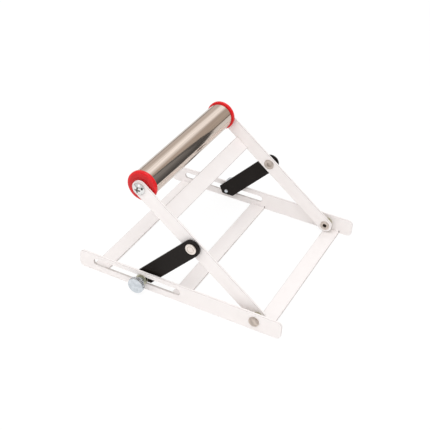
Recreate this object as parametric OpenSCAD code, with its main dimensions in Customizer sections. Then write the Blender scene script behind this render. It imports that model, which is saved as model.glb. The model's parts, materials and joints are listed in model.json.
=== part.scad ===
// Folding roller support that holds long stock level with a miter saw's table.
// X runs along the rails towards the arm pivots, Y along the roller, Z up from the ground.
// The model stands at the height in the photograph, centred on the rails.

/* [Base] */
// Length of a base rail
rail_l = 300; // [260:5:360]
// Height of a base rail
rail_h = 26; // [24:0.5:30]
// Thickness of a base rail
rail_t = 3; // [2:0.5:4]
// Radius of the rails' corners
rail_r = 7; // [3:0.5:9]
// Width over the outer faces of the rails
base_w = 266; // [200:2:320]
// Width of the cross bars, base and arms alike
bar_w = 22.5; // [16:0.5:25]
// Thickness of the cross bars
bar_t = 2.5; // [2:0.5:3]
// Slotted end of the rails to the middle of the left cross bar
left_bar_in = 28.5; // [15:0.5:40]
// Slotted end of the rails to the middle of the middle cross bar
middle_bar_in = 149.5; // [130:0.5:170]
// Pivot end of the rails to the middle of the right cross bar
right_bar_in = 29; // [15:0.5:40]
// Leg of the weld beads that hold the cross bars
weld_leg = 1.6; // [1:0.1:2]
// Length of a weld bead
weld_l = 7; // [4:0.5:10]

/* [Slots] */
// Slotted end of the rails to the slot
slot_in = 22; // [18:1:40]
// Length of a slot from end to end
slot_l = 133; // [110:1:150]
// Height of a slot
slot_h = 9.5; // [8.5:0.1:10]
// Height of a slot's middle above the ground
slot_z = 14.5; // [13:0.1:15]

/* [Arms] */
// Angle of the arms above the ground as photographed
arm_angle = 36.6; // [10:0.1:46]
// Pivot to roller axle
arm_l = 222.7; // [190:0.1:250]
// Width of an arm
arm_w = 21; // [18:0.5:21]
// Thickness of an arm
arm_t = 3; // [2:0.5:4]
// Pivot end of the rails to the arm pivot
pivot_in = 38; // [30:1:60]
// Height of the arm pivot above the ground
pivot_z = 13.5; // [13.1:0.1:14]
// Roller axle back to the middle of the arms' cross bar
arm_bar_back = 50.2; // [40:0.2:70]

/* [Links] */
// Pivot to the rivet that carries a link, along the arm
link_at = 122; // [110:0.5:130]
// Link rivet to clamping screw
link_l = 99; // [95:0.5:110]
// Width of a link
link_w = 24; // [18:0.5:25]
// Thickness of a link
link_t = 3; // [2:0.5:4]
// Radius of a link's nose round the clamping screw
link_nose_r = 8; // [6:0.5:10]
// How far a link's lower corner is cut away from the clamping screw
link_cut = 5.6; // [4:0.1:8]
// Thickness of the washers that centre a link between rail and arm
link_washer_t = 3; // [2:0.5:4]
// Diameter of those washers
link_washer_d = 15; // [12:0.5:18]
// How far the clamping screws sit below the slots' middle as photographed
screw_low = 0.94; // [0:0.02:1.2]

/* [Roller] */
// Outer diameter of the roller tube
tube_d = 38; // [30:0.5:39]
// Wall of the roller tube
tube_wall = 1.5; // [1:0.1:2]
// Outer diameter of the end caps' flanges
cap_d = 42.3; // [32:0.1:43]
// Width of an end cap's flange
cap_flange_t = 6; // [3:0.5:8]
// Bevel round an end cap's flange
cap_bevel = 2; // [0.5:0.5:2.5]
// How far an end cap reaches into the tube
cap_plug_l = 14; // [8:1:20]
// Diameter of the roller axle
axle_d = 10; // [9:0.5:12]
// Wall of the bush between axle and end cap
bush_wall = 2; // [1.5:0.1:3]
// Thickness of the washers beside the roller
axle_washer_t = 1.5; // [1:0.1:2]
// Diameter of the washers beside the roller
axle_washer_d = 18; // [15:0.5:20]

/* [Fasteners] */
// Diameter of a pivot or link rivet's shank
rivet_d = 8; // [6:0.5:9]
// Diameter of a pivot rivet's head
rivet_head_d = 14.5; // [12:0.5:15]
// Diameter of a link rivet's head
link_rivet_head_d = 14.5; // [12:0.5:17]
// Thickness of a rivet's head
rivet_head_t = 2; // [1.5:0.1:2.5]
// Diameter of a pivot rivet's flared tail
rivet_tail_d = 14; // [11:0.5:15]
// Diameter of a link rivet's flared tail
link_rivet_tail_d = 15.5; // [12:0.5:16]
// Thickness of a rivet's flared tail
rivet_tail_t = 1.6; // [1:0.1:2]
// Diameter of the hole in a rivet's tail
rivet_hole_d = 5.6; // [4:0.1:5.8]
// Depth of the hole in a rivet's tail
rivet_hole_l = 7; // [5:0.5:9]
// Diameter of the sleeve round a pivot rivet
sleeve_d = 14; // [12:0.5:16]
// Diameter of the clamping and axle screws' shanks
screw_d = 6; // [5:0.1:6]
// Diameter of an axle screw's head
axle_head_d = 17.5; // [12:0.5:18]
// Height of an axle screw's head
axle_head_t = 5.6; // [3:0.2:6]
// Width of the cross recess in an axle screw's head
recess_w = 2; // [1:0.1:2.4]
// Length of the cross recess
recess_l = 8.5; // [5:0.5:9]
// How far an axle screw reaches into the axle
axle_screw_l = 16; // [10:1:24]

/* [Thumb screws] */
// Diameter of a thumb screw's knurled head
thumb_d = 23; // [18:0.5:24]
// Thickness of the knurled head
thumb_t = 6; // [4:0.5:8]
// Bevel of the knurled head
thumb_bevel = 0.7; // [0.2:0.1:1]
// Number of grooves in the knurl
thumb_grooves = 40; // [24:4:60]
// Diameter of a groove in the knurl
groove_d = 0.9; // [0.5:0.1:1.2]
// Diameter of the collar under the head
collar_d = 12; // [10:0.5:14]
// Length of the collar under the head
collar_l = 9; // [6:0.5:12]
// Diameter of the collar's step next to the washer
step_d = 10.5; // [8:0.5:12]
// Length of that step
step_l = 2.5; // [1:0.5:4]
// Diameter of the washer against the rail
thumb_washer_d = 16; // [13:0.5:18]
// Thickness of the washer against the rail
thumb_washer_t = 1.6; // [1:0.1:2.5]
// How far the screw stands out of the link
screw_out = 1.8; // [0.5:0.1:2.5]

/* [Hidden] */
$fn = 64;
// Gap beside faces that slide past each other
play = 0.05;
// Gap round pins that turn in bores
running = 0.05;
// Clearance of screws and caps that pass through without turning
pass = 0.25;
// Overrun of every cut
over = 1;
// How deep a straight edge runs into the round that it ends on
sunk = 0.1;

// Places across the stand, near side, from the rail inwards
rail_y = -base_w / 2;
rail_in_y = rail_y + rail_t;
link_y = rail_in_y + link_washer_t;
link_in_y = link_y + link_t;
arm_y = link_in_y + link_washer_t;
arm_in_y = arm_y + arm_t;
cap_y = arm_in_y + axle_washer_t + play;
tube_y = cap_y + cap_flange_t;

// Places along and above the rails
pivot_x = rail_l / 2 - pivot_in;
axle_x = pivot_x - arm_l * cos(arm_angle);
axle_z = pivot_z + arm_l * sin(arm_angle);
rivet_x = pivot_x - link_at * cos(arm_angle);
rivet_z = pivot_z + link_at * sin(arm_angle);
arm_bar_at = arm_l - arm_bar_back;
screw_z = slot_z - screw_low;
link_angle = asin((rivet_z - screw_z) / link_l);
screw_x = rivet_x - link_l * cos(link_angle);
slot_x = slot_in - rail_l / 2;
bar_xs = [left_bar_in - rail_l / 2, middle_bar_in - rail_l / 2, rail_l / 2 - right_bar_in];

// Outlines in the plane of the rails, X across and Z up
module round_rect(l, h, r) {
    translate([r, 0]) square([l - 2 * r, h]);
    translate([0, r]) square([l, h - 2 * r]);
    for (x = [r, l - r], y = [r, h - r]) translate([x, y]) circle(r);
}

module stadium(l, w) {
    translate([0, -w / 2]) square([l, w]);
    for (x = [0, l]) translate([x, 0]) circle(w / 2);
}

// A flat bar whose outer face lies at y, reaching t inwards
module plate(y, t) {
    translate([0, y + t, 0]) rotate([90, 0, 0]) linear_extrude(t) children();
}

// A round bar along Y from y0 inwards to y1
module round_bar(x, z, y0, y1, d) {
    translate([x, y1, z]) rotate([90, 0, 0]) cylinder(h = y1 - y0, d = d);
}

// A disc along Y whose face at y0 is bevelled
module bevelled_disc(x, z, y0, y1, d, bevel) {
    translate([x, y1, z]) rotate([90, 0, 0]) rotate_extrude()
        polygon([[0, 0], [d / 2, 0], [d / 2, y1 - y0 - bevel], [d / 2 - bevel, y1 - y0], [0, y1 - y0]]);
}

module ring(x, z, y0, y1, d, bore) {
    difference() {
        round_bar(x, z, y0, y1, d);
        round_bar(x, z, y0 - over, y1 + over, bore);
    }
}

// Puts an outline on an arm: X from the pivot to the roller, Y towards the arm's upper edge
module on_arm() {
    translate([pivot_x, pivot_z]) rotate(180 - arm_angle) mirror([0, 1]) children();
}

// Puts an outline on a link: X from its rivet to its screw, Y towards its upper edge
module on_link() {
    translate([rivet_x, rivet_z]) rotate(180 + link_angle) mirror([0, 1]) children();
}

module far_side() {
    mirror([0, 1, 0]) children();
}

// Base
module rail() {
    color("snow") plate(rail_y, rail_t) difference() {
        translate([-rail_l / 2, 0]) round_rect(rail_l, rail_h, rail_r);
        translate([slot_x + slot_h / 2, slot_z]) stadium(slot_l - slot_h, slot_h);
        translate([pivot_x, pivot_z]) circle(d = rivet_d);
    }
}

module cross_bar(x) {
    color("snow") translate([x - bar_w / 2, rail_in_y, 0]) cube([bar_w, -2 * rail_in_y, bar_t]);
}

module weld_bead() {
    rotate([0, 90, 0]) linear_extrude(weld_l) polygon([[0, 0], [-weld_leg, 0], [0, weld_leg]]);
}

module base_weld_pair() {
    for (x = bar_xs, end = [-bar_w / 2, bar_w / 2 - weld_l])
        translate([x + end, rail_in_y, bar_t]) weld_bead();
}

module base_welds() {
    color("gainsboro") {
        base_weld_pair();
        far_side() base_weld_pair();
    }
}

// Semi-tubular rivet whose head lies outside y_out and whose tail is flared over y_in
module rivet(x, z, y_out, y_in, head_d, tail_d) {
    tail_y = y_in + rivet_tail_t;
    color("rosybrown") difference() {
        union() {
            bevelled_disc(x, z, y_out - rivet_head_t, y_out, head_d, rivet_head_t / 4);
            round_bar(x, z, y_out, tail_y, rivet_d);
            far_side() bevelled_disc(x, z, -tail_y, -y_in, tail_d, rivet_tail_t / 2);
        }
        round_bar(x, z, tail_y - rivet_hole_l, tail_y + over, rivet_hole_d);
    }
}

module pivot_rivet() {
    rivet(pivot_x, pivot_z, rail_y, arm_in_y + play, rivet_head_d, rivet_tail_d);
}

module pivot_sleeve() {
    color("silver") ring(pivot_x, pivot_z, rail_in_y, arm_y - play, sleeve_d, rivet_d);
}

// Arm frame
module arm() {
    color("snow") plate(arm_y, arm_t) difference() {
        on_arm() stadium(arm_l, arm_w);
        translate([pivot_x, pivot_z]) circle(d = rivet_d + 2 * running);
        translate([rivet_x, rivet_z]) circle(d = rivet_d);
        translate([axle_x, axle_z]) circle(d = screw_d + 2 * pass);
    }
}

module arm_cross_bar() {
    color("snow") plate(arm_in_y, -2 * arm_in_y)
        on_arm() translate([arm_bar_at - bar_w / 2, -arm_w / 2]) square([bar_w, bar_t]);
}

module arm_weld(along) {
    plate(arm_in_y, weld_leg) on_arm()
        translate([arm_bar_at + along, bar_t - arm_w / 2]) square([weld_l, weld_leg / 2]);
}

module arm_weld_pair() {
    for (along = [-bar_w / 2, bar_w / 2 - weld_l]) arm_weld(along);
}

module arm_welds() {
    color("gainsboro") {
        arm_weld_pair();
        far_side() arm_weld_pair();
    }
}

module link_rivet() {
    rivet(rivet_x, rivet_z, link_y - play, arm_in_y, link_rivet_head_d, link_rivet_tail_d);
}

module link_washer() {
    color("silver") ring(rivet_x, rivet_z, link_in_y + play, arm_y, link_washer_d, rivet_d);
}

module roller_axle() {
    color("silver") difference() {
        round_bar(axle_x, axle_z, arm_in_y, -arm_in_y, axle_d);
        for (y = [arm_in_y, -arm_in_y])
            round_bar(axle_x, axle_z, y - axle_screw_l, y + axle_screw_l, screw_d);
    }
}

// Domed screw with a cross recess, through the arm into the axle
module axle_screw() {
    rim_t = axle_head_t / 3;
    dome_r = (pow(axle_head_d / 2, 2) + pow(axle_head_t - rim_t, 2)) / (2 * (axle_head_t - rim_t));
    color("silver") difference() {
        union() {
            intersection() {
                round_bar(axle_x, axle_z, arm_y - axle_head_t, arm_y, axle_head_d);
                translate([axle_x, arm_y - axle_head_t + dome_r, axle_z]) sphere(dome_r);
            }
            round_bar(axle_x, axle_z, arm_y - rim_t, arm_in_y + axle_screw_l, screw_d);
        }
        for (turn = [0, 90])
            translate([axle_x, arm_y - axle_head_t / 2, axle_z]) rotate([0, turn, 0])
                translate([-recess_l / 2, -axle_head_t, -recess_w / 2]) cube([recess_l, axle_head_t, recess_w]);
    }
}

module axle_washer() {
    color("silver") ring(axle_x, axle_z, arm_in_y, arm_in_y + axle_washer_t, axle_washer_d, axle_d);
}

// Roller
module roller_tube() {
    color("lightgray") ring(axle_x, axle_z, tube_y, -tube_y, tube_d, tube_d - 2 * tube_wall);
}

module end_cap() {
    color("crimson") difference() {
        union() {
            bevelled_disc(axle_x, axle_z, cap_y, tube_y, cap_d, cap_bevel);
            round_bar(axle_x, axle_z, tube_y, tube_y + cap_plug_l, tube_d - 2 * tube_wall);
        }
        round_bar(axle_x, axle_z, cap_y - over, tube_y + cap_plug_l + over, axle_d + 2 * (running + bush_wall));
    }
}

module bush() {
    color("goldenrod")
        ring(axle_x, axle_z, cap_y, tube_y + cap_plug_l, axle_d + 2 * (running + bush_wall), axle_d + 2 * running);
}

// Links, whose upper corner runs down to the round nose in a straight edge
module link_outline() {
    corner = [link_nose_r / 2, link_w / 2];
    edge_r = link_nose_r - sunk;
    edge_at = atan2(corner.y, corner.x) - acos(edge_r / norm(corner));
    difference() {
        union() {
            circle(d = link_w);
            translate([0, -link_w / 2]) square([link_l, link_w]);
            translate([link_l, 0]) {
                polygon([[0, 0], edge_r * [cos(edge_at), sin(edge_at)], corner, [0, corner.y]]);
                circle(link_nose_r);
            }
        }
        translate([link_l, 0]) rotate(link_angle) translate([-link_w, -link_cut - link_w])
            square([2 * link_w, link_w]);
    }
}

module link() {
    color("dimgray") plate(link_y, link_t) difference() {
        on_link() link_outline();
        translate([rivet_x, rivet_z]) circle(d = rivet_d + 2 * running);
        translate([screw_x, screw_z]) circle(d = screw_d + 2 * running);
    }
}

module slot_washer() {
    color("silver") ring(screw_x, screw_z, rail_in_y + play, link_y, link_washer_d, screw_d + 2 * running);
}

// Thumb screws
module thumb_screw() {
    washer_y = rail_y - play - thumb_washer_t;
    head_y = washer_y - collar_l;
    color("lightsteelblue") difference() {
        union() {
            bevelled_disc(screw_x, screw_z, head_y - thumb_t, head_y, thumb_d, thumb_bevel);
            round_bar(screw_x, screw_z, head_y, washer_y - step_l, collar_d);
            round_bar(screw_x, screw_z, washer_y - step_l, washer_y, step_d);
            bevelled_screw_end(washer_y);
        }
        for (i = [0 : thumb_grooves - 1])
            translate([screw_x, 0, screw_z]) rotate([0, i * 360 / thumb_grooves, 0])
                round_bar(thumb_d / 2 + groove_d / 4, 0, head_y - thumb_t - over, head_y + over, groove_d);
    }
}

module bevelled_screw_end(y) {
    far_side() bevelled_disc(screw_x, screw_z, -link_in_y - screw_out, -y, screw_d, screw_d / 8);
}

module thumb_washer() {
    color("silver") ring(screw_x, screw_z, rail_y - play - thumb_washer_t, rail_y - play, thumb_washer_d, screw_d);
}

rail();  // near_rail
far_side() rail();  // far_rail
cross_bar(bar_xs[0]);  // left_cross_bar
cross_bar(bar_xs[1]);  // middle_cross_bar
cross_bar(bar_xs[2]);  // right_cross_bar
base_welds();
pivot_rivet();  // near_pivot_rivet
far_side() pivot_rivet();  // far_pivot_rivet
pivot_sleeve();  // near_pivot_sleeve
far_side() pivot_sleeve();  // far_pivot_sleeve
arm();  // near_arm
far_side() arm();  // far_arm
arm_cross_bar();
arm_welds();
link_rivet();  // near_link_rivet
far_side() link_rivet();  // far_link_rivet
link_washer();  // near_link_washer
far_side() link_washer();  // far_link_washer
roller_axle();
axle_screw();  // near_axle_screw
far_side() axle_screw();  // far_axle_screw
axle_washer();  // near_axle_washer
far_side() axle_washer();  // far_axle_washer
roller_tube();
end_cap();  // near_end_cap
far_side() end_cap();  // far_end_cap
bush();  // near_bush
far_side() bush();  // far_bush
link();  // near_link
far_side() link();  // far_link
slot_washer();  // near_slot_washer
far_side() slot_washer();  // far_slot_washer
thumb_screw();  // near_thumb_screw
far_side() thumb_screw();  // far_thumb_screw
thumb_washer();  // near_thumb_washer
far_side() thumb_washer();  // far_thumb_washer
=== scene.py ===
# The looks of the folding roller support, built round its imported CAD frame.
# Metres throughout: X along the rails, Y along the roller (the photograph's near side is -Y), Z up.
import json
import math

import bmesh
import bpy
from mathutils import Matrix, Vector, noise


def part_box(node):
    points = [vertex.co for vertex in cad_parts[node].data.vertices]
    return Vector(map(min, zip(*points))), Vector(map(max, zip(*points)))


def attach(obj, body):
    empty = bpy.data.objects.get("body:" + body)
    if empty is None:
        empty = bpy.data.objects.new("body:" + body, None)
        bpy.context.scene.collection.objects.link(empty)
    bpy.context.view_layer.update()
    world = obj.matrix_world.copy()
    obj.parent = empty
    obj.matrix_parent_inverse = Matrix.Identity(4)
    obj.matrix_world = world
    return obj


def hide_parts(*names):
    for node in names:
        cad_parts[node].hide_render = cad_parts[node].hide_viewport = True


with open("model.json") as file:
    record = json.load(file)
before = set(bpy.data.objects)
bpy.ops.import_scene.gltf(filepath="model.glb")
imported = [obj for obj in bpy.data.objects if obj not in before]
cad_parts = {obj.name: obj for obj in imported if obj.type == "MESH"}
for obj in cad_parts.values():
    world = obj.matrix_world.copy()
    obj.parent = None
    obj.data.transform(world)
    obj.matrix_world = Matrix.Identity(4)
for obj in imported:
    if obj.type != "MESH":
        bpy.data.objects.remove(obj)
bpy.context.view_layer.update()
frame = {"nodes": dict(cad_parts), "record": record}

MM = 0.001
TURN = 2 * math.pi
WHITE = (1, 1, 1, 1)
BEHAVIOUR = frame["record"]["behaviour"]
SLOT_OF = {part["node"]: part["material_slot"] for part in frame["record"]["subparts"]}
BODY_OF = {node: body for body, nodes in BEHAVIOUR["bodies"].items() for node in nodes}
JOINT_AT = {joint["name"]: Vector(joint["pos_m"]) for joint in BEHAVIOUR["joints"]}
PIVOT = JOINT_AT["arm_fold"]
AXLE = JOINT_AT["roller_spin"]
LINK_PIN = JOINT_AT["near_link_swing"]
CLAMP = JOINT_AT["near_thumb_turn"]

# Camera, fitted to the photograph
CAMERA_AZIMUTH = math.radians(24.138)
CAMERA_ELEVATION = math.radians(34.173)
CAMERA_ROLL = math.radians(4.537)
CAMERA_DISTANCE = 1.28934
CAMERA_TARGET = Vector((-0.009914, -0.007443, 0.0605))
CAMERA_LENS = 77.676
CAMERA_SENSOR = 36.0

# Shapes taken from the CAD: clean-up and rounding
MERGE_DISTANCE = 0.001 * MM
FLAT_ANGLE = math.radians(1)
SHARP_ANGLE = math.radians(40)
PLATE_BEVEL = 0.5 * MM
SMALL_BEVEL = 0.15 * MM
BEVEL_STEPS = 3
BEVEL_PROFILE = 0.5

# Walls of the slots in the rails, found from the clamping screw's place, and the level of painted shade on
# them
SLOT_REACH = 75 * MM
SLOT_HALF_H = 6 * MM
SLOT_WALL_TILT = 0.1
SLOT_PAINTED_SHADE = 0.6

# Turned shapes: steps round them, the radius that counts as none, and how near a limit counts as past it
ROUND_STEPS = 96
AXIS_R = 1e-7
MARGIN = 0.15 * MM

# Welds: fillet beads with rounded ends, ripples, small lumps and a crater where the weld stopped
WELD_LEG = 1.6 * MM
WELD_LENGTH = 7 * MM
WELD_SECTIONS = 36
WELD_ARC_STEPS = 6
WELD_END_POWER = 6
WELD_END_SIZE = 0.12
WELD_HOLLOW = 0.2
WELD_MEAN_SIZE = 0.84
WELD_RIPPLES = 5
WELD_RIPPLE_PHASE = 0.6
WELD_RIPPLE_SIZE = 0.12
WELD_LUMP_SIZE = 0.12
WELD_LUMPS_PER_METRE = 700
WELD_CRATER_START = 0.86

# Rivets
RIVET_SHANK_R = 4 * MM
RIVET_HEAD_T = 2 * MM
RIVET_TAIL_T = 1.6 * MM
RIVET_HOLE_R = 2.8 * MM
RIVET_ROUNDING = 0.3 * MM

# Rivet head from its middle: millimetres below its top, share of its radius
RIVET_HEAD = [
    (0.15, 0),
    (0.1, 0.50),
    (0.3, 0.56),
    (0.3, 0.60),
    (0, 0.66),
    (0.1, 0.86),
    (0.5, 0.96),
    (0.9, 1),
]

# Rolled tail of a rivet: millimetres from its start, millimetres beyond its largest radius
RIVET_ROLL = [(0, -0.2), (0.5, 0), (1.1, -0.5)]
RIVET_LIP = 1.6 * MM
RIVET_MOUTH = 0.9 * MM
RIVET_MOUTH_DROP = 0.1 * MM

# Hole in a rivet's tail: a share of its depth, the height of its tip, and where its painted shade starts
HOLE_MIDDLE = 0.45
HOLE_TIP = 0.3 * MM
HOLE_SHADE_DEPTH = 2 * MM

# Painted shade in the ring groove of a rivet's head: shares of the radius, and how pale it still is
RING_AT = 0.58
RING_HALF_WIDTH = 0.05
RING_PALE = 0.35

# The two kinds of rivets
RIVETS = {
    "pivot_rivet": dict(axis=PIVOT, hole_depth=7 * MM, head_pale=0.0, tail_pale=0.4, hole_dirt=0.6),
    "link_rivet": dict(axis=LINK_PIN, hole_depth=2.2 * MM, head_pale=1.0, tail_pale=0.12, hole_dirt=0.0),
}

# Roller tube: its wall, and the slightly thinner rim at each end
TUBE_STEPS = 160
TUBE_WALL = 1.5 * MM
TUBE_RIM = 2.4 * MM
TUBE_RIM_DROP = 0.7 * MM
TUBE_EDGE = 0.2 * MM
TUBE_EDGE_L = 0.3 * MM
TUBE_SHOULDER_L = 0.5 * MM
TUBE_SHOULDER_DROP = 0.1 * MM
TUBE_ROUNDING = 0.25 * MM

# End caps
CAP_STEPS = 128
CAP_BORE_R = 7.05 * MM
CAP_RIM = 0.5 * MM
CAP_BACK_EDGE = 0.4 * MM
CAP_PLUG_TAPER = 1 * MM
CAP_ROUNDING = 0.4 * MM

# Groove in a cap's face: its depth, and its edges as shares of the radius
CAP_GROOVE_DEPTH = 0.5 * MM
CAP_GROOVE = (0.52, 0.54, 0.60, 0.62)

# Dome of a cap's face: its height, and rows of a share of that and a share of the radius
CAP_DOME_H = 1.5 * MM
CAP_DOME = [(0.14, 0.70), (0.36, 0.80), (0.66, 0.90), (1, 0.97)]

# Painted shade over the middle of a cap's face: shares of the radius where it starts and over which it
# grows
CAP_PAINTED_SHADE_FROM = 0.97
CAP_PAINTED_SHADE_SPAN = 0.17

# Screw threads
SCREW_R = 3 * MM
SCREW_PITCH = 1 * MM
THREAD_DEPTH = 0.45 * MM

# Axle screws
AXLE_HEAD_RIM = 1.87 * MM
AXLE_HEAD_EDGE = 0.3 * MM
AXLE_DOME_STEPS = 24
AXLE_TIP = 1 * MM

# Cross recess: its size, and at each end of its taper the depth from the face and the share of that size
RECESS_WIDTH = 2.1 * MM
RECESS_LENGTH = 8.5 * MM
RECESS_ENDS = ((-1 * MM, 1.15), (3.2 * MM, 0.45))

# Share of the recess's width that doesn't taper
RECESS_WIDTH_KEPT = 0.55

# Clamping screws
THUMB_HEAD_T = 6 * MM
THUMB_BEVEL = 0.8 * MM
THUMB_BEVEL_L = 0.7 * THUMB_BEVEL
THUMB_DISH = 0.12 * MM
THUMB_DISH_EDGE = 2.2 * THUMB_BEVEL
THUMB_RIBS = 40
THUMB_RIB_STEPS = 8
THUMB_RIB_DEPTH = 0.45 * MM
THUMB_ROUNDING = 0.2 * MM
THUMB_ROUNDING_STEPS = 2

# Collar of a clamping screw: its groove as millimetres from the head and millimetres deep, and its step
COLLAR_R = 6 * MM
COLLAR_GROOVE = [(1.0, 0), (1.4, 0.5), (1.8, 0)]
STEP_R = 5.25 * MM
STEP_L = 2.5 * MM

# End of a clamping screw's shank
TIP_L = 0.8 * MM
TIP_TAPER = 0.9 * MM
DIMPLE_R = 1.1 * MM
DIMPLE_DEPTH = 0.7 * MM

# Washers, sleeves and bushes: axis, radius of the bore, rounding of the edges
RING_ROUNDING = 0.2 * MM
RINGS = {
    "pivot_sleeve": (PIVOT, RIVET_SHANK_R, RING_ROUNDING),
    "link_washer": (LINK_PIN, RIVET_SHANK_R, RING_ROUNDING),
    "axle_washer": (AXLE, 5 * MM, RING_ROUNDING),
    "slot_washer": (CLAMP, 3.05 * MM, RING_ROUNDING),
    "thumb_washer": (CLAMP, SCREW_R, 0.35 * MM),
    "bush": (AXLE, 5.05 * MM, RING_ROUNDING),
}

# Noise levels between which one tone turns into another
WIDE = (0.3, 0.7)
SOFT = (0.35, 0.65)
PATCHY = (0.35, 0.6)
CRISP = (0.4, 0.6)

# Paint: patches as size and detail; bumps as size, detail, height and strength
COAT_PATCHES = (22 * MM, 4.0)
# Painted shade on the rounded edges: its patches, and the least share of it
PAINTED_EDGE_PATCHES = (7 * MM, 5.0)
LEAST_PAINTED_EDGE = 0.55
COAT_GLOSS_PATCHES = (3 * MM, 2.0)
COAT_GLOSS_CHANGE = 0.06
COAT_PEEL = (1.4 * MM, 2.0, 0.02 * MM, 1.0)
COAT_GRIT = (0.25 * MM, 2.0, 0.004 * MM, 0.5)
SOOT_COLOR = (0.03, 0.025, 0.02)

# Turned steel: rings as width, detail and height
STEEL_PATCHES = (5 * MM, 4.0)
STEEL_DULLER = 0.1
STEEL_GLOSSIER = 0.03
STEEL_RINGS = (0.3 * MM, 3.0, 0.003 * MM)
STEEL_GRIT = (0.6 * MM, 2.0, 0.004 * MM, 0.5)
# Colour of the painted shade in the rivets' holes
HOLE_SHADE_COLOR = (0.02, 0.017, 0.014)

# Bright screws: patches of painted shade in the cross recess, and the gloss they vary
SHADE_AND_GLOSS_PATCHES = (1.6 * MM, 4.0)
SHADE_AND_GLOSS_RANGE = (0.55, 0.95)
PATCHY_SCREW_GLOSS = [(0.5, 0.08), (1.0, 0.14)]
CHROME_BUMPS = (0.5 * MM, 2.0, 0.002 * MM, 0.6)

# Polished tube
TUBE_STREAKS = (1.8 * MM, 4.0)
TUBE_STRETCH = 0.02
TUBE_GLOSS = (0.07, 0.12)
TUBE_WORN = 0.88
TUBE_RINGS = (0.8 * MM, 2.0, 0.0012 * MM)

# Moulded plastic
FLOW_PATCHES = (9 * MM, 3.0)
# Painted shade on the caps' faces: its patches, and the least share of it
PAINTED_SHADE_PATCHES = (5 * MM, 4.0)
LEAST_PAINTED_SHADE = 0.75
PLASTIC_GLOSS_PATCHES = (3 * MM, 2.0)
PLASTIC_GLOSS = (0.17, 0.23)
PLASTIC_SPECULAR = 0.3
PLASTIC_SKIN = (3 * MM, 0.0, 0.006 * MM, 0.5)

# Sintered bronze
PORE_SIZE = 0.4 * MM
PORE_DEPTH = 0.02 * MM
PORE_EDGE = (0.1, 0.3)


# Shader nodes
def feed(tree, socket, value):
    """Gives a socket a value, or the other socket that feeds it."""
    if isinstance(value, bpy.types.NodeSocket):
        tree.links.new(value, socket)
    else:
        socket.default_value = value


def plug(tree, node, **inputs):
    """Feeds a node's inputs by name, with _ for a space in a name."""
    for name, value in inputs.items():
        feed(tree, node.inputs[name.replace("_", " ")], value)


def add(tree, kind, settings=None, **inputs):
    """A new node with its settings and inputs."""
    node = tree.nodes.new("ShaderNode" + kind)
    for name, value in (settings or {}).items():
        setattr(node, name, value)
    plug(tree, node, **inputs)
    return node


def maths(tree, operation, *values):
    node = add(tree, "Math", {"operation": operation})
    for socket, value in zip(node.inputs, values):
        feed(tree, socket, value)
    return node.outputs[0]


def blend(tree, factor, first, second, mode="MIX"):
    """Mixes two colours, each a socket or three numbers."""
    node = add(tree, "MixRGB", {"blend_type": mode}, Fac=factor)
    for socket, value in zip(node.inputs[1:], (first, second)):
        feed(tree, socket, value if isinstance(value, bpy.types.NodeSocket) else (*value, 1))
    return node.outputs["Color"]


def mixed_shader(tree, factor, first, second):
    node = add(tree, "MixShader", Fac=factor)
    for socket, value in zip(node.inputs[1:], (first, second)):
        feed(tree, socket, value)
    return node.outputs[0]


def ramp(tree, factor, stops):
    """Colours or greys by factor; stops is a list of (place, colour or grey)."""
    node = add(tree, "ValToRGB", Fac=factor)
    points = node.color_ramp.elements
    while len(points) < len(stops):
        points.new(0.5)
    for point, (place, value) in zip(points, stops):
        point.position = place
        point.color = (value, value, value, 1) if isinstance(value, float) else (*value, 1)
    return node.outputs["Color"]


def fade(tree, factor, levels, start, end):
    """One colour or grey that turns into another while factor goes from one level to the other."""
    return ramp(tree, factor, list(zip(levels, (start, end))))


def object_place(tree):
    return add(tree, "TexCoord").outputs["Object"]


def split(tree, place):
    """The X, Y and Z sockets of a place or direction."""
    return add(tree, "SeparateXYZ", Vector=place).outputs


def marked(tree, name):
    """How strongly the mesh is marked for something, such as painted shade."""
    return add(tree, "Attribute", {"attribute_name": name}).outputs["Fac"]


def grain(tree, place, size, detail):
    """Noise whose patches are about size metres across."""
    return add(tree, "TexNoise", Vector=place, Scale=1 / size, Detail=detail).outputs["Fac"]


def bumped(tree, height, depth, strength=1.0, normal=None):
    node = add(tree, "Bump", Height=height, Distance=depth, Strength=strength)
    if normal:
        plug(tree, node, Normal=normal)
    return node.outputs["Normal"]


def bumps(tree, place, look, normal=None):
    """Bumps from noise; look is their size, detail, height and strength."""
    size, detail, depth, strength = look
    return bumped(tree, grain(tree, place, size, detail), depth, strength, normal)


def ringed(tree, across, look):
    """Fine rings that follow each other along a distance; look is their width, detail and height."""
    width, detail, depth = look
    waves = add(tree, "TexNoise", {"noise_dimensions": "1D"}, W=across, Scale=1 / width, Detail=detail)
    return bumped(tree, waves.outputs["Fac"], depth)


def unsigned(tree, value):
    """Brings -1 to 1 into 0 to 1."""
    return maths(tree, "MULTIPLY_ADD", value, 0.5, 0.5)


def axis_radius(tree, place):
    """Distance from the piece's own axis along Y."""
    parts = split(tree, place)
    squares = [maths(tree, "POWER", parts[axis], 2.0) for axis in ("X", "Z")]
    return maths(tree, "SQRT", maths(tree, "ADD", *squares))


def bare_tree(owner):
    """The emptied node tree of a new material or world."""
    owner.use_nodes = True
    owner.node_tree.nodes.clear()
    return owner.node_tree


def surface(name, color, roughness, metallic=0.0):
    """A material with one Principled shader; returns the material, its tree and the shader."""
    material = bpy.data.materials.new(name)
    material.use_nodes = True
    tree = material.node_tree
    shader = tree.nodes["Principled BSDF"]
    plug(tree, shader, Base_Color=(*color, 1), Roughness=roughness, Metallic=metallic)
    return material, tree, shader


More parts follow.
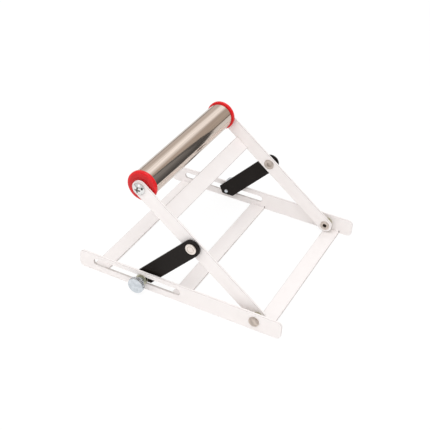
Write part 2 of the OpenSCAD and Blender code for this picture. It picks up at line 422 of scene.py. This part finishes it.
# Materials
def powder_coat(name, color, thin, painted_edge_tone, roughness, specular):
    """Powder coat with orange peel, a fine grit, thinner patches, a painted tone on its rounded edges
    (painted shade on white) and sooty weld ends.
    """
    material, tree, shader = surface(name, color, roughness)
    place = object_place(tree)
    coat = fade(tree, grain(tree, place, *COAT_PATCHES), SOFT, thin, color)
    painted_edge = fade(tree, grain(tree, place, *PAINTED_EDGE_PATCHES), PATCHY, LEAST_PAINTED_EDGE, 1.0)
    # Painted shade on the marked edges and slot walls, in patches
    with_painted_edges = blend(tree, maths(tree, "MULTIPLY", marked(tree, "edge"), painted_edge), coat, painted_edge_tone)
    tone = blend(tree, marked(tree, "soot"), with_painted_edges, SOOT_COLOR)
    gloss = fade(tree, grain(tree, place, *COAT_GLOSS_PATCHES), WIDE,
                 roughness - COAT_GLOSS_CHANGE, roughness + COAT_GLOSS_CHANGE)
    grit = bumps(tree, place, COAT_GRIT, bumps(tree, place, COAT_PEEL))
    plug(tree, shader, Base_Color=tone, Roughness=gloss, Normal=grit, Specular_IOR_Level=specular)
    return material


def turned_steel(name, color, dull_and_painted_shade, roughness, pale=None):
    """Metal with fine turned rings about the piece's own axis, and faint duller patches.

    With a pale colour, the mesh also marks where the metal is pale and where painted shade darkens a
    rivet's hole.
    """
    material, tree, shader = surface(name, color, roughness, 1.0)
    place = object_place(tree)
    patches = grain(tree, place, *STEEL_PATCHES)
    tone = fade(tree, patches, CRISP, dull_and_painted_shade, color)
    if pale:
        tone = blend(tree, marked(tree, "pale"), tone, pale)
        tone = blend(tree, marked(tree, "shade_in_hole"), tone, HOLE_SHADE_COLOR)
    gloss = fade(tree, patches, SOFT, roughness + STEEL_DULLER, roughness - STEEL_GLOSSIER)
    grit = bumps(tree, place, STEEL_GRIT, ringed(tree, axis_radius(tree, place), STEEL_RINGS))
    plug(tree, shader, Base_Color=tone, Roughness=gloss, Normal=grit)
    return material


def chromed_screw(name, color, recess_shade, roughness):
    """Bright screw head with painted shade in its cross recess."""
    material, tree, shader = surface(name, color, roughness, 1.0)
    place = object_place(tree)
    parts = split(tree, place)
    offsets = [maths(tree, "ABSOLUTE", parts[axis]) for axis in ("X", "Z")]
    arms = [maths(tree, "LESS_THAN", offset, RECESS_WIDTH / 2) for offset in offsets]
    inside = maths(tree, "LESS_THAN", axis_radius(tree, place), RECESS_LENGTH / 2)
    recess = maths(tree, "MULTIPLY", maths(tree, "MAXIMUM", *arms), inside)
    patchiness = fade(tree, grain(tree, place, *SHADE_AND_GLOSS_PATCHES), PATCHY, *SHADE_AND_GLOSS_RANGE)
    # Painted shade darkens the cross recess, in patches
    tone = blend(tree, maths(tree, "MULTIPLY", recess, patchiness), color, recess_shade)
    gloss = ramp(tree, patchiness, PATCHY_SCREW_GLOSS)
    plug(tree, shader, Base_Color=tone, Roughness=gloss, Normal=bumps(tree, place, CHROME_BUMPS))
    return material


def polished_tube(name, color, roughness):
    """Tube polished on a centreless grinder: fine rings round it, and soft streaks along it."""
    material, tree, shader = surface(name, color, roughness, 1.0)
    place = object_place(tree)
    along = add(tree, "Mapping", Vector=place, Scale=(1, TUBE_STRETCH, 1)).outputs["Vector"]
    streaks = grain(tree, along, *TUBE_STREAKS)
    tone = fade(tree, streaks, PATCHY, tuple(TUBE_WORN * part for part in color), color)
    gloss = fade(tree, streaks, WIDE, *TUBE_GLOSS)
    ground = ringed(tree, split(tree, place)["Y"], TUBE_RINGS)
    plug(tree, shader, Base_Color=tone, Roughness=gloss, Normal=ground)
    return material


def moulded_plastic(name, color, flow, dull_and_painted_shade, roughness):
    """Glossy moulded plastic with faint flow marks, a slightly uneven skin and a face darkened by painted
    shade.
    """
    material, tree, shader = surface(name, color, roughness)
    place = object_place(tree)
    fresh = fade(tree, grain(tree, place, *FLOW_PATCHES), SOFT, flow, color)
    patchiness = fade(tree, grain(tree, place, *PAINTED_SHADE_PATCHES), PATCHY, LEAST_PAINTED_SHADE, 1.0)
    # Painted shade darkens the marked face, in patches
    tone = blend(tree, maths(tree, "MULTIPLY", marked(tree, "dull_and_painted_shade"), patchiness), fresh, dull_and_painted_shade)
    gloss = fade(tree, grain(tree, place, *PLASTIC_GLOSS_PATCHES), WIDE, *PLASTIC_GLOSS)
    skin = bumps(tree, place, PLASTIC_SKIN)
    plug(tree, shader, Base_Color=tone, Roughness=gloss, Normal=skin, Specular_IOR_Level=PLASTIC_SPECULAR)
    return material


def sintered_bronze(name, color, pore, roughness):
    """Porous bearing bronze."""
    material, tree, shader = surface(name, color, roughness, 1.0)
    pores = add(tree, "TexVoronoi", Vector=object_place(tree), Scale=1 / PORE_SIZE).outputs["Distance"]
    tone = fade(tree, pores, PORE_EDGE, pore, color)
    plug(tree, shader, Base_Color=tone, Normal=bumped(tree, pores, PORE_DEPTH))
    return material


FINISHES = {
    # painted_edge_tone: painted shade on the white paint, a slightly lighter painted edge on the black
    "white_paint": (powder_coat, dict(
        color=(0.93, 0.89, 0.88), thin=(0.915, 0.873, 0.862), painted_edge_tone=(0.38, 0.34, 0.31),
        roughness=0.42, specular=0.4)),
    "black_paint": (powder_coat, dict(
        color=(0.0115, 0.0085, 0.007), thin=(0.0095, 0.0068, 0.0055), painted_edge_tone=(0.02, 0.018, 0.016),
        roughness=0.44, specular=0.15)),
    "polished_tube": (polished_tube, dict(color=(0.75, 0.645, 0.565), roughness=0.09)),
    # The red plastic's darker tone is painted shade for the caps' faces
    "red_plastic": (moulded_plastic, dict(
        color=(0.84, 0.018, 0.022), flow=(0.72, 0.012, 0.016), dull_and_painted_shade=(0.54, 0.009, 0.012), roughness=0.2)),
    "rivet_steel": (turned_steel, dict(
        color=(0.66, 0.57, 0.51), dull_and_painted_shade=(0.50, 0.43, 0.38), pale=(0.88, 0.80, 0.74), roughness=0.34)),
    "zinc_screw": (turned_steel, dict(color=(0.70, 0.74, 0.78), dull_and_painted_shade=(0.60, 0.64, 0.68), roughness=0.14)),
    "bright_screw": (chromed_screw, dict(
        color=(0.80, 0.80, 0.79), recess_shade=(0.20, 0.18, 0.14), roughness=0.1)),
    "plated_steel": (turned_steel, dict(color=(0.62, 0.60, 0.47), dull_and_painted_shade=(0.49, 0.47, 0.35), roughness=0.30)),
    "bronze": (sintered_bronze, dict(color=(0.55, 0.40, 0.22), pore=(0.20, 0.13, 0.06), roughness=0.4)),
}
MATERIALS = {name: make(name, **looks) for name, (make, looks) in FINISHES.items()}


# Building pieces
def new_object(name, bm, at=(0, 0, 0)):
    bmesh.ops.recalc_face_normals(bm, faces=bm.faces)
    mesh = bpy.data.meshes.new(name)
    bm.to_mesh(mesh)
    bm.free()
    mesh.shade_smooth()
    piece = bpy.data.objects.new(name, mesh)
    piece.location = at
    bpy.context.scene.collection.objects.link(piece)
    return piece


def stands_for(piece, node):
    """Puts a piece in its CAD node's place: the same body and the same finish."""
    slot = SLOT_OF[node]
    piece.data.materials.append(MATERIALS[slot])
    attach(piece, BODY_OF[node])
    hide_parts(node)


def flat_shading(piece):
    """Keeps the flat faces shaded flat beside their rounded edges."""
    piece.modifiers.new("normals", "WEIGHTED_NORMAL").keep_sharp = True


def mark(piece, name, level_at):
    """Marks each vertex for the piece's material; level_at gives the level at a place."""
    levels = [level_at(vertex.co) for vertex in piece.data.vertices]
    piece.data.attributes.new(name, "FLOAT", "POINT").data.foreach_set("value", levels)


def side_of(node):
    return -1 if node.startswith("far") else 1


def round_box(node):
    """Where a round node, or its twin on the near side, starts and ends along Y, and its radius."""
    low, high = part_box(node.replace("far_", "near_"))
    return low.y, high.y, (high.x - low.x) / 2


def soften(profile, radius, steps=4, closed=False):
    """Rounds each corner of a profile by about radius."""
    points = [Vector((*point, 0)[:3]) for point in profile]
    rounded = []
    for i, corner in enumerate(points):
        if not closed and i in (0, len(points) - 1):
            rounded.append(corner)
            continue
        before, after = points[i - 1], points[(i + 1) % len(points)]
        trim = min(radius, (before - corner).length / 2, (after - corner).length / 2)
        start = corner + (before - corner).normalized() * trim
        end = corner + (after - corner).normalized() * trim
        for step in range(steps + 1):
            t = step / steps
            rounded.append(start * (1 - t) ** 2 + corner * 2 * t * (1 - t) + end * t ** 2)
    return rounded


def band(bm, ring_a, ring_b):
    """Faces between two rings; a ring of one point is the tip of a fan."""
    count = max(len(ring_a), len(ring_b))
    for i in range(count):
        j = (i + 1) % count
        first = [ring_a[i % len(ring_a)], ring_a[j % len(ring_a)]]
        second = [ring_b[j % len(ring_b)], ring_b[i % len(ring_b)]]
        bm.faces.new(list(dict.fromkeys(first + second)))


def turned_ring(bm, y, radius, ribbing, ribs, steps):
    """One ring of a turned shape, or its point on the axis."""
    if radius < AXIS_R:
        return [bm.verts.new((0, y, 0))]
    ring = []
    for i in range(steps):
        angle = TURN * i / steps
        r = radius - ribbing * (0.5 - 0.5 * math.cos(ribs * angle))
        ring.append(bm.verts.new((r * math.cos(angle), y, r * math.sin(angle))))
    return ring


def lathe(node, axis, profile, closed=False, ribs=0, steps=ROUND_STEPS):
    """Turns a profile about an axis along Y.

    The profile is given for the near side, in rows of y, radius and, where it is ribbed, the ribs' depth.
    """
    side = side_of(node)
    bm = bmesh.new()
    rows = [(*row, 0)[:3] for row in profile]
    turned = [turned_ring(bm, side * y, radius, ribbing, ribs, steps) for y, radius, ribbing in rows]
    for ring_a, ring_b in zip(turned, turned[1:]):
        band(bm, ring_a, ring_b)
    if closed:
        band(bm, turned[-1], turned[0])
    piece = new_object(node + "_look", bm, (axis.x, 0, axis.z))
    flat_shading(piece)
    return piece


def ring_piece(node, axis, bore, rounding):
    """A washer, sleeve or bush."""
    start, end, outer = round_box(node)
    profile = [(start, bore), (start, outer), (end, outer), (end, bore)]
    stands_for(lathe(node, axis, soften(profile, rounding, closed=True), closed=True), node)


# Painted flat bars
def in_slot(face):
    """Whether a face of a rail is a wall of its slot, which gets painted shade."""
    at = face.calc_center_median() - CLAMP
    return abs(face.normal.y) < SLOT_WALL_TILT and abs(at.x) < SLOT_REACH and abs(at.z) < SLOT_HALF_H


def from_frame(node, bevel):
    """A piece with the CAD node's own shape and softly rounded edges, marked for painted shade on its
    rounded edges and slot walls.
    """
    bm = bmesh.new()
    bm.from_mesh(frame["nodes"][node].data)
    bmesh.ops.remove_doubles(bm, verts=bm.verts, dist=MERGE_DISTANCE)
    bmesh.ops.dissolve_limit(bm, angle_limit=FLAT_ANGLE, verts=bm.verts, edges=bm.edges)
    painted_edge = bm.faces.layers.float.new("edge")
    inner = [edge for edge in bm.edges if len(edge.link_faces) == 2]
    sharp = [edge for edge in inner if edge.calc_face_angle() > SHARP_ANGLE]
    rounded = bmesh.ops.bevel(bm, geom=sharp, offset=bevel, offset_type="OFFSET", segments=BEVEL_STEPS,
                              profile=BEVEL_PROFILE, affect="EDGES", clamp_overlap=True)
    # Rounded edges and slot walls get painted shade
    for face in rounded["faces"]:
        face[painted_edge] = 1.0
    if node.endswith("rail"):
        for face in filter(in_slot, bm.faces):
            face[painted_edge] = SLOT_PAINTED_SHADE
    piece = new_object(node + "_look", bm)
    flat_shading(piece)
    stands_for(piece, node)


def flat_bars():
    for node, slot in SLOT_OF.items():
        if slot in ("white_paint", "black_paint") and not node.endswith("welds"):
            from_frame(node, PLATE_BEVEL)


# Welds
def bead(bm, soot, corner, along, up, out, burnt):
    """A rippled fillet weld; up and out are its two legs, and a burnt one ends in a dark crater."""
    sections = []
    for i in range(WELD_SECTIONS + 1):
        t = i / WELD_SECTIONS
        at = corner + along * WELD_LENGTH * t
        ends = math.sqrt(max(0.0, 1 - (2 * t - 1) ** WELD_END_POWER))
        ripple = WELD_RIPPLE_SIZE * abs(math.sin(math.pi * WELD_RIPPLES * t + WELD_RIPPLE_PHASE))
        lump = WELD_LUMP_SIZE * noise.noise(at * WELD_LUMPS_PER_METRE)
        size = max(WELD_END_SIZE, ends) * (WELD_MEAN_SIZE + ripple + lump)
        section = [bm.verts.new(at)]
        for step in range(WELD_ARC_STEPS + 1):
            angle = TURN / 4 * step / WELD_ARC_STEPS
            bulge = 1 - WELD_HOLLOW * math.sin(2 * angle)
            section.append(bm.verts.new(at + (up * math.sin(angle) + out * math.cos(angle)) * size * bulge))
        for vert in section:
            vert[soot] = 1.0 if burnt and t > WELD_CRATER_START else 0.0
        sections.append(section)
    for section_a, section_b in zip(sections, sections[1:]):
        band(bm, section_a, section_b)
    bm.faces.new(sections[0])
    bm.faces.new(sections[-1])


def reach(node, direction):
    """How far a CAD node reaches along a direction."""
    spans = [vertex.co.dot(direction) for vertex in frame["nodes"][node].data.vertices]
    return min(spans), max(spans)


def welds(node, bars, along, up, inner):
    """Beads where the ends of the flat bars meet the plates beside them."""
    bm = bmesh.new()
    soot = bm.verts.layers.float.new("soot")
    for bar in bars:
        start, end = reach(bar, along)
        top = reach(bar, up)[1]
        for side in (-1, 1):
            wall = Vector((0, side * inner, 0)) + up * top
            out = Vector((0, -side * WELD_LEG, 0))
            for place in (start, end - WELD_LENGTH):
                burnt = side > 0 and place > start
                bead(bm, soot, wall + along * place, along, up * WELD_LEG, out, burnt)
    stands_for(new_object(node + "_look", bm), node)


# Rivets
def tail_radius(node, axis, tail):
    """The largest radius of a CAD rivet's tail, given for the near side."""
    corners = [vertex.co for vertex in frame["nodes"][node].data.vertices]
    return max(math.hypot(c.x - axis.x, c.z - axis.z) for c in corners if c.y > tail - MARGIN)


def rivet(node, axis, hole_depth, head_pale, tail_pale, hole_dirt):
    """Semi-tubular rivet: a pressed head with a ring, and a rolled tail round its hole."""
    start, end, head = round_box(node)
    seat = start + RIVET_HEAD_T
    tail = end - RIVET_TAIL_T
    flare = tail_radius(node.replace("far_", "near_"), axis, tail)
    profile = [(start + depth * MM, share * head) for depth, share in RIVET_HEAD]
    profile += [(seat, head), (seat, RIVET_SHANK_R), (tail, RIVET_SHANK_R)]
    profile += [(tail + along * MM, flare + out * MM) for along, out in RIVET_ROLL]
    profile += [
        (end, flare - RIVET_LIP),
        (end - RIVET_MOUTH_DROP, RIVET_HOLE_R + RIVET_MOUTH),
        (end - RIVET_MOUTH, RIVET_HOLE_R),
        (end - HOLE_MIDDLE * hole_depth, RIVET_HOLE_R),
        (end - hole_depth, RIVET_HOLE_R),
        (end - hole_depth - HOLE_TIP, 0),
    ]
    piece = lathe(node, axis, soften(profile, RIVET_ROUNDING))

    def pale_at(spot):
        if abs(spot.y) < -seat - MARGIN:
            return tail_pale
        # The ring groove in the head is darkened with painted shade
        in_ring = abs(math.hypot(spot.x, spot.z) / head - RING_AT) < RING_HALF_WIDTH
        return head_pale * RING_PALE if in_ring else head_pale

    # Painted shade deep in the hole of a rivet's tail
    def hole_shade_at(spot):
        in_bore = math.hypot(spot.x, spot.z) < RIVET_HOLE_R + MARGIN
        in_hole = in_bore and -end + HOLE_SHADE_DEPTH < abs(spot.y) < -seat
        return hole_dirt if in_hole else 0.0

    mark(piece, "pale", pale_at)
    mark(piece, "shade_in_hole", hole_shade_at)
    stands_for(piece, node)


# Roller
def tube_end(y, side, inner, outer):
    """The tube's profile at one end, from its bore out; side is 1 where the tube goes towards +Y."""
    rim = y + side * TUBE_RIM
    rim_r = outer - TUBE_RIM_DROP
    return [
        (y + side * TUBE_EDGE, inner),
        (y, rim_r - TUBE_EDGE),
        (y + side * TUBE_EDGE_L, rim_r),
        (rim - side * TUBE_SHOULDER_L, outer - TUBE_SHOULDER_DROP),
        (rim, outer),
    ]


def roller_tube():
    start, _, outer = round_box("roller_tube")
    inner = outer - TUBE_WALL
    profile = tube_end(start, 1, inner, outer) + tube_end(-start, -1, inner, outer)[::-1]
    softened = soften(profile, TUBE_ROUNDING, closed=True)
    stands_for(lathe("roller_tube", AXLE, softened, closed=True, steps=TUBE_STEPS), "roller_tube")


def end_cap(node):
    """Domed flange with a rounded rim and a moulded groove, and a plug inside the tube."""
    start, end, outer = round_box(node)
    tube_start, _, tube_outer = round_box("roller_tube")
    plug_r = tube_outer - TUBE_WALL
    rim = start + CAP_DOME_H
    profile = [(start, CAP_BORE_R)]
    for share, depth in zip(CAP_GROOVE, (0, CAP_GROOVE_DEPTH, CAP_GROOVE_DEPTH, 0)):
        profile.append((start + depth, share * outer))
    profile += [(start + height * CAP_DOME_H, share * outer) for height, share in CAP_DOME]
    profile += [
        (rim + CAP_RIM, outer),
        (tube_start - CAP_BACK_EDGE, outer),
        (tube_start, outer - CAP_BACK_EDGE),
        (tube_start, plug_r),
        (end - CAP_PLUG_TAPER, plug_r),
        (end, plug_r - CAP_PLUG_TAPER),
        (end, CAP_BORE_R),
    ]
    piece = lathe(node, AXLE, soften(profile, CAP_ROUNDING, closed=True), closed=True, steps=CAP_STEPS)

    # Painted shade: the middle of the face is darker than the rim
    def painted_shade_at(spot):
        share = math.hypot(spot.x, spot.z) / outer
        on_face = abs(spot.y) > -rim
        return min(1.0, max(0.0, (CAP_PAINTED_SHADE_FROM - share) / CAP_PAINTED_SHADE_SPAN)) if on_face else 0.0

    mark(piece, "dull_and_painted_shade", painted_shade_at)
    stands_for(piece, node)


# Screws
def thread(start, end):
    """Crests and roots of a screw thread between two places along Y."""
    turns = max(1, int(abs(end - start) / SCREW_PITCH))
    step = (end - start) / turns
    points = []
    for i in range(turns):
        points.append((start + step * i, SCREW_R - THREAD_DEPTH))
        points.append((start + step * (i + 0.5), SCREW_R))
    points.append((end, SCREW_R - THREAD_DEPTH))
    return points


def cross_cutter(face_y, side):
    """Tapered cross recess, cut from outside the face at face_y."""
    bm = bmesh.new()
    for angle in (0, TURN / 4):
        turn = Matrix.Rotation(angle, 3, "Y")
        ends = []
        for depth, share in RECESS_ENDS:
            length = RECESS_LENGTH * share / 2
            width = RECESS_WIDTH * (RECESS_WIDTH_KEPT + (1 - RECESS_WIDTH_KEPT) * share) / 2
            corners = [turn @ Vector((x, 0, z)) for x, z in
                       ((-length, -width), (length, -width), (length, width), (-length, width))]
            ends.append([bm.verts.new((c.x, side * (face_y + depth), c.z)) for c in corners])
        band(bm, *ends)
        for end in ends:
            bm.faces.new(end)
    return new_object("recess_cutter", bm, (AXLE.x, 0, AXLE.z))


def cut_out(piece, cutter):
    """Takes the cutter's shape out of a piece, and the cutter out of the scene."""
    cut = piece.modifiers.new("recess", "BOOLEAN")
    cut.object = cutter
    cut.use_self = True
    piece.modifiers.move(len(piece.modifiers) - 1, 0)
    evaluated = piece.evaluated_get(bpy.context.evaluated_depsgraph_get())
    finished = bpy.data.meshes.new_from_object(evaluated)
    piece.modifiers.clear()
    piece.data = finished
    bpy.data.objects.remove(cutter)
    flat_shading(piece)


def axle_screw(node):
    """Domed screw with a cross recess."""
    start, end, head = round_box(node)
    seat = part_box("near_arm")[0].y
    rise = seat - AXLE_HEAD_RIM - start
    ball = (head ** 2 + rise ** 2) / (2 * rise)
    slope = math.asin(head / ball)
    angles = [slope * i / AXLE_DOME_STEPS for i in range(AXLE_DOME_STEPS + 1)]
    dome = [(start + ball * (1 - math.cos(angle)), ball * math.sin(angle)) for angle in angles]
    rim = [(seat - AXLE_HEAD_EDGE, head), (seat, head - AXLE_HEAD_EDGE), (seat, SCREW_R)]
    tip = [(end - AXLE_TIP, SCREW_R), (end, SCREW_R - AXLE_TIP), (end, 0)]
    piece = lathe(node, AXLE, dome + rim + tip)
    cut_out(piece, cross_cutter(start, side_of(node)))
    stands_for(piece, node)


def thumb_screw(node):
    """Knurled head, turned collar, and a threaded shank with a dimpled end."""
    start, end, head = round_box(node)
    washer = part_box("near_thumb_washer")[0].y
    seat = start + THUMB_HEAD_T
    step = washer - STEP_L
    profile = [
        (start + THUMB_DISH, 0),
        (start, head - THUMB_DISH_EDGE),
        (start, head - THUMB_BEVEL),
        (start + THUMB_BEVEL_L, head, THUMB_RIB_DEPTH),
        (seat - THUMB_BEVEL_L, head, THUMB_RIB_DEPTH),
        (seat, head - THUMB_BEVEL),
        (seat, COLLAR_R),
    ]
    profile += [(seat + along * MM, COLLAR_R - depth * MM) for along, depth in COLLAR_GROOVE]
    profile += [(step, COLLAR_R), (step, STEP_R), (washer, STEP_R)]
    profile += thread(washer, end - TIP_L)
    profile += [(end, SCREW_R - TIP_TAPER), (end, DIMPLE_R), (end - DIMPLE_DEPTH, 0)]
    softened = soften(profile, THUMB_ROUNDING, THUMB_ROUNDING_STEPS)
    stands_for(lathe(node, CLAMP, softened, ribs=THUMB_RIBS, steps=THUMB_RIBS * THUMB_RIB_STEPS), node)


# The object
def build_object():
    flat_bars()
    rail_inner = -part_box("near_rail")[1].y
    arm_inner = -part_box("near_arm")[1].y
    along_arm = (AXLE - PIVOT).normalized()
    above_arm = Vector((0, -1, 0)).cross(along_arm)
    bars = ("left_cross_bar", "middle_cross_bar", "right_cross_bar")
    welds("base_welds", bars, Vector((1, 0, 0)), Vector((0, 0, 1)), rail_inner)
    welds("arm_welds", ("arm_cross_bar",), along_arm, above_arm, arm_inner)
    for side in ("near_", "far_"):
        for name, look in RIVETS.items():
            rivet(side + name, **look)
        for name, look in RINGS.items():
            ring_piece(side + name, *look)
        end_cap(side + "end_cap")
        axle_screw(side + "axle_screw")
        thumb_screw(side + "thumb_screw")
    from_frame("roller_axle", SMALL_BEVEL)
    roller_tube()


# Floor: its colour, how much of its shading shows, and how its white dulls towards +Y in reflections
FLOOR_REACH = 6.0
FLOOR_COLOR = (0.86, 0.85, 0.84, 1)
FLOOR_SHADOW_SHARE = 0.16
FLOOR_WHITE = 1.06
FLOOR_DULL = 0.82
FLOOR_FADE = 0.25

# Fill light of the world, dimmer from the sides
FILL_COLOR = (1, 0.99, 0.985, 1)
FILL_POWER = 0.93
SIDE_SHADE = 0.45

# The room in reflections: its walls from -X to X, the dark below its horizon, and its front half
WALLS = [
    (0.18, (0.62, 0.57, 0.54)),
    (0.42, (0.73, 0.69, 0.65)),
    (0.58, (0.49, 0.44, 0.40)),
    (0.8, (0.53, 0.47, 0.42)),
]
HORIZON = [(0.5, 0.35), (0.53, 0.55), (0.57, 1.0)]
HALL_COLOR = (0.78, 0.78, 0.78)

# The front half and the two lamps of that room: direction, and strength by the cosine of the angle to it
HALL_GLOW = ((0, -1, 0), [(0.15, 0.0), (0.5, 1.0)])
BACK_LAMP_COLOR = (1.2, 1.2, 1.21)
BACK_LAMP_GLOW = ((-0.08, 0.75, 0.655), [(0.925, 0.0), (0.975, 0.6), (0.999, 1.0)])
FRONT_LAMP_COLOR = (1.35, 1.35, 1.35)
FRONT_LAMP_GLOW = ((-0.2, -0.86, 0.47), [(0.95, 0.0), (0.975, 0.5), (0.995, 1.0)])

# Lamps: place, size, power, colour
LAMPS = {
    "key": ((0.05, -0.5, 1.65), 1.4, 9.8, (1, 1, 1)),
    "front": ((0.1, -1.6, 0.6), 1.2, 2.1, (1, 0.99, 0.98)),
}

# Where the cards behind the stand are
CARD_Y = 0.35
CARD_LOW = 0.001
CARD_TOP = 0.75
CARD_END = 0.62
EDGE_X = AXLE.x + 0.265
EDGE_FOOT = EDGE_X - 0.026
EDGE_TOP = EDGE_X + 0.01
SCREEN_X = EDGE_X + 0.035
SILL_Y = CARD_Y - 0.08

# Cards seen only in reflections: corners, and greys by height from the lower to the upper edge
CARDS = {
    "dark_edge": (
        [(EDGE_FOOT, CARD_Y, CARD_LOW), (SCREEN_X, CARD_Y, CARD_LOW),
         (SCREEN_X, CARD_Y, CARD_TOP), (EDGE_TOP, CARD_Y, CARD_TOP)],
        [(0.0, 0.08), (0.3, 0.10), (1.0, 0.14)]),
    "dark_screen": (
        [(SCREEN_X, CARD_Y, CARD_LOW), (CARD_END, CARD_Y, CARD_LOW),
         (CARD_END, CARD_Y, CARD_TOP), (SCREEN_X, CARD_Y, CARD_TOP)],
        [(0.0, 0.09), (0.16, 0.12), (0.4, 0.24), (1.0, 0.30)]),
    "dark_sill": (
        [(EDGE_FOOT, SILL_Y, CARD_LOW), (CARD_END, SILL_Y, CARD_LOW),
         (CARD_END, CARD_Y, CARD_LOW), (EDGE_FOOT, CARD_Y, CARD_LOW)],
        [(0.0, 0.10), (1.0, 0.10)]),
    "dark_flag": (
        [(0.057, -0.558, 0.002), (0.246, -0.449, 0.002), (0.344, -0.691, 0.33), (0.24, -0.765, 0.33)],
        [(0.0, 0.03), (1.0, 0.03)]),
}

# Rays that don't see the cards
RAYS_WITHOUT_CARDS = ("camera", "diffuse", "shadow", "transmission", "volume_scatter")


# Stage
def quad(name, corners):
    bm = bmesh.new()
    bm.faces.new([bm.verts.new(corner) for corner in corners])
    panel = new_object(name, bm)
    return panel


def direct_rays(tree, rays):
    """1 for camera and transmission rays, which see plain white behind the object."""
    return maths(tree, "ADD", rays["Is Camera Ray"], rays["Is Transmission Ray"])


def floor():
    """White to the camera with a faint shadow, and slightly duller towards the back in reflections."""
    material = bpy.data.materials.new("floor")
    tree = bare_tree(material)
    rays = add(tree, "LightPath").outputs
    mirrored = add(tree, "MapRange", Value=split(tree, object_place(tree))["Y"], From_Min=-FLOOR_FADE,
                   From_Max=FLOOR_FADE, To_Min=FLOOR_WHITE, To_Max=FLOOR_DULL).outputs["Result"]
    fall = maths(tree, "SUBTRACT", mirrored, FLOOR_WHITE)
    level = maths(tree, "MULTIPLY_ADD", rays["Is Glossy Ray"], fall, FLOOR_WHITE)
    lit = add(tree, "BsdfDiffuse", Color=FLOOR_COLOR).outputs[0]
    white = add(tree, "Emission", Color=WHITE, Strength=level).outputs[0]
    seen = maths(tree, "ADD", direct_rays(tree, rays), rays["Is Glossy Ray"])
    share = maths(tree, "MULTIPLY", maths(tree, "MINIMUM", seen, 1.0), 1 - FLOOR_SHADOW_SHARE)
    add(tree, "OutputMaterial", Surface=mixed_shader(tree, share, lit, white))
    r = FLOOR_REACH
    panel = quad("floor", [(-r, -r, 0), (r, -r, 0), (r, r, 0), (-r, r, 0)])
    panel.data.materials.append(material)


def glowing(tree, room, direction, glow, color):
    """The room with one more bright place in it."""
    toward, stops = glow
    cosine = add(tree, "VectorMath", {"operation": "DOT_PRODUCT"})
    feed(tree, cosine.inputs[0], direction)
    feed(tree, cosine.inputs[1], Vector(toward).normalized())
    return blend(tree, ramp(tree, cosine.outputs["Value"], stops), room, color)


def studio_world():
    """White to the camera; a room with two lamps in reflections; for light, a fill dimmer at the sides."""
    world = bpy.data.worlds.new("studio")
    bpy.context.scene.world = world
    tree = bare_tree(world)
    direction = add(tree, "TexCoord").outputs["Generated"]
    parts = split(tree, direction)
    walls = ramp(tree, unsigned(tree, parts["X"]), WALLS)
    horizon = ramp(tree, unsigned(tree, parts["Z"]), HORIZON)
    hall = blend(tree, 1.0, HALL_COLOR, horizon, "MULTIPLY")
    room = blend(tree, 1.0, walls, horizon, "MULTIPLY")
    room = glowing(tree, room, direction, BACK_LAMP_GLOW, BACK_LAMP_COLOR)
    room = glowing(tree, room, direction, HALL_GLOW, hall)
    room = glowing(tree, room, direction, FRONT_LAMP_GLOW, FRONT_LAMP_COLOR)
    sideways = maths(tree, "POWER", maths(tree, "ABSOLUTE", parts["X"]), 2.0)
    shade = maths(tree, "MULTIPLY", sideways, SIDE_SHADE)
    level = maths(tree, "MULTIPLY", maths(tree, "SUBTRACT", 1.0, shade), FILL_POWER)
    mirrored = add(tree, "Background", Color=room).outputs[0]
    fill = add(tree, "Background", Color=FILL_COLOR, Strength=level).outputs[0]
    white = add(tree, "Background", Color=WHITE).outputs[0]
    rays = add(tree, "LightPath").outputs
    indirect = mixed_shader(tree, rays["Is Glossy Ray"], fill, mirrored)
    add(tree, "OutputWorld", Surface=mixed_shader(tree, direct_rays(tree, rays), indirect, white))


def softbox(name, at, size, power, color):
    """A square lamp aimed at the object, not seen itself."""
    lamp = bpy.data.lights.new(name, "AREA")
    lamp.shape = "SQUARE"
    lamp.size = size
    lamp.energy = power
    lamp.color = color
    box = bpy.data.objects.new(name, lamp)
    box.location = at
    aim = CAMERA_TARGET - Vector(at)
    box.rotation_euler = aim.to_track_quat("-Z", "Y").to_euler()
    box.visible_camera = False
    box.visible_glossy = False
    bpy.context.scene.collection.objects.link(box)


def reflector(name, corners, stops):
    """A card seen only in reflections, with greys by height from its lower to its upper edge."""
    card = quad(name, corners)
    material = bpy.data.materials.new(name)
    tree = bare_tree(material)
    heights = [corner[2] for corner in corners]
    share = add(tree, "MapRange", Value=split(tree, object_place(tree))["Z"], From_Min=min(heights),
                From_Max=max(heights)).outputs["Result"]
    add(tree, "OutputMaterial", Surface=add(tree, "Emission", Color=ramp(tree, share, stops)).outputs[0])
    card.data.materials.append(material)
    for kind in RAYS_WITHOUT_CARDS:
        setattr(card, "visible_" + kind, False)


def camera():
    data = bpy.data.cameras.new("camera")
    data.sensor_width = CAMERA_SENSOR
    data.lens = CAMERA_LENS
    eye = bpy.data.objects.new("camera", data)
    turn = Matrix.Rotation(CAMERA_AZIMUTH, 4, "Z") @ Matrix.Rotation(math.pi / 2 - CAMERA_ELEVATION, 4, "X")
    turn = turn @ Matrix.Rotation(CAMERA_ROLL, 4, "Z")
    away = Matrix.Translation((0, 0, CAMERA_DISTANCE))
    eye.matrix_world = Matrix.Translation(CAMERA_TARGET) @ turn @ away
    bpy.context.scene.collection.objects.link(eye)
    bpy.context.scene.camera = eye


def build_stage():
    """The camera, the room and its lamps.

    The dark edge, screen and sill draw the wedge on the roller, and the flag draws the spot on the near
    axle screw.
    """
    bpy.context.scene.view_settings.view_transform = "Standard"
    camera()
    studio_world()
    floor()
    for name, (corners, stops) in CARDS.items():
        reflector(name, corners, stops)
    for name, look in LAMPS.items():
        softbox(name, *look)


build_stage()
build_object()
